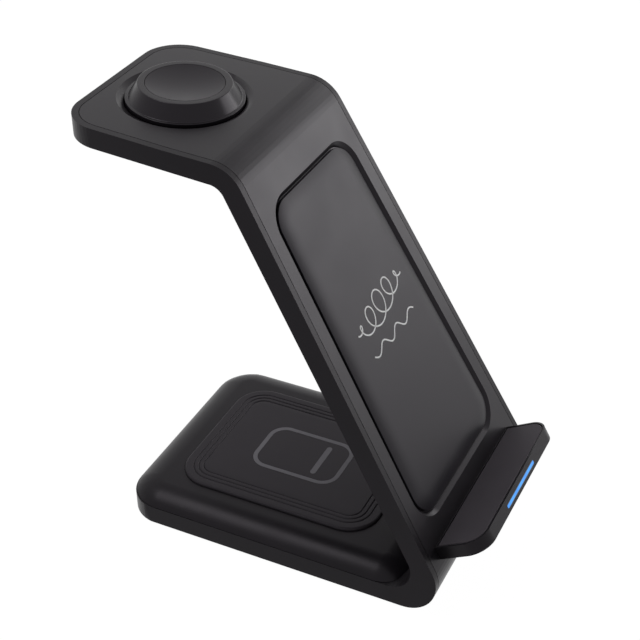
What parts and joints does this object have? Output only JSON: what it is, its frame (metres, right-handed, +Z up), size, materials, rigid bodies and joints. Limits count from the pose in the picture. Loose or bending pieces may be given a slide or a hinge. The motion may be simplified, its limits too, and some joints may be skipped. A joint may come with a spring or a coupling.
{
  "type": "wireless charging station",
  "caption": "Matt black desk charging stand: leaning phone panel with ledge and blue light strip, watch puck on the rear arm, flat earbud pad on the base.",
  "frame": {"origin": "centre of the overall footprint box, on the floor under the rubber feet", "axes": "+Z up, +X across the width, +Y from the phone ledge to the end of the watch arm"},
  "size_m": [0.08, 0.1395, 0.1429],
  "materials": {
    "soft_touch_shell": "soft touch paint over moulded plastic",
    "soft_touch_cover": "soft touch paint over moulded plastic",
    "silicone_pad": "smooth silicone",
    "light_guide": "blue lit light guide",
    "circuit_board": "green solder mask",
    "led_package": "moulded LED package",
    "plain_abs": "plain moulded plastic",
    "rubber_foot": "matt rubber",
    "zinc_screw": "zinc plated steel",
    "steel_shell": "nickel plated steel",
    "chip_epoxy": "epoxy package",
    "ferrite": "sintered ferrite sheet",
    "capacitor_ceramic": "fired ceramic",
    "nylon_white": "moulded nylon",
    "copper_wire": "enamelled copper wire",
    "nickel_magnet": "nickel plated magnet",
    "puck_polycarbonate": "satin polycarbonate",
    "red_flex": "insulated flat lead",
    "black_flex": "insulated flat lead"
  },
  "bodies": {
    "root": {"frame": "soft_touch_shell", "front_cover": "soft_touch_cover", "phone_pad": "silicone_pad", "ledge_tray": "soft_touch_shell", "ledge_inlay": "silicone_pad", "light_guide": "light_guide", "led_board": "circuit_board", "leds": "led_package", "base_shell": "soft_touch_shell", "earbud_pad": "silicone_pad", "bottom_cover": "plain_abs", "feet": "rubber_foot", "base_screws": "zinc_screw", "main_board": "circuit_board", "usb_shell": "steel_shell", "usb_tongue": "plain_abs", "chips": "chip_epoxy", "inductors": "ferrite", "capacitors": "capacitor_ceramic", "connectors": "nylon_white", "earbud_coil": "copper_wire", "earbud_ferrite": "ferrite", "phone_coil_lower": "copper_wire", "phone_coil_upper": "copper_wire", "phone_ferrites": "ferrite", "puck_body": "soft_touch_shell", "puck_dish": "puck_polycarbonate", "puck_floor": "plain_abs", "puck_screws": "zinc_screw", "watch_coil": "copper_wire", "watch_magnet": "nickel_magnet", "watch_ferrite": "ferrite", "watch_board": "circuit_board", "phone_leads": "red_flex", "watch_leads": "black_flex", "led_leads": "black_flex"}
  },
  "joints": []
}
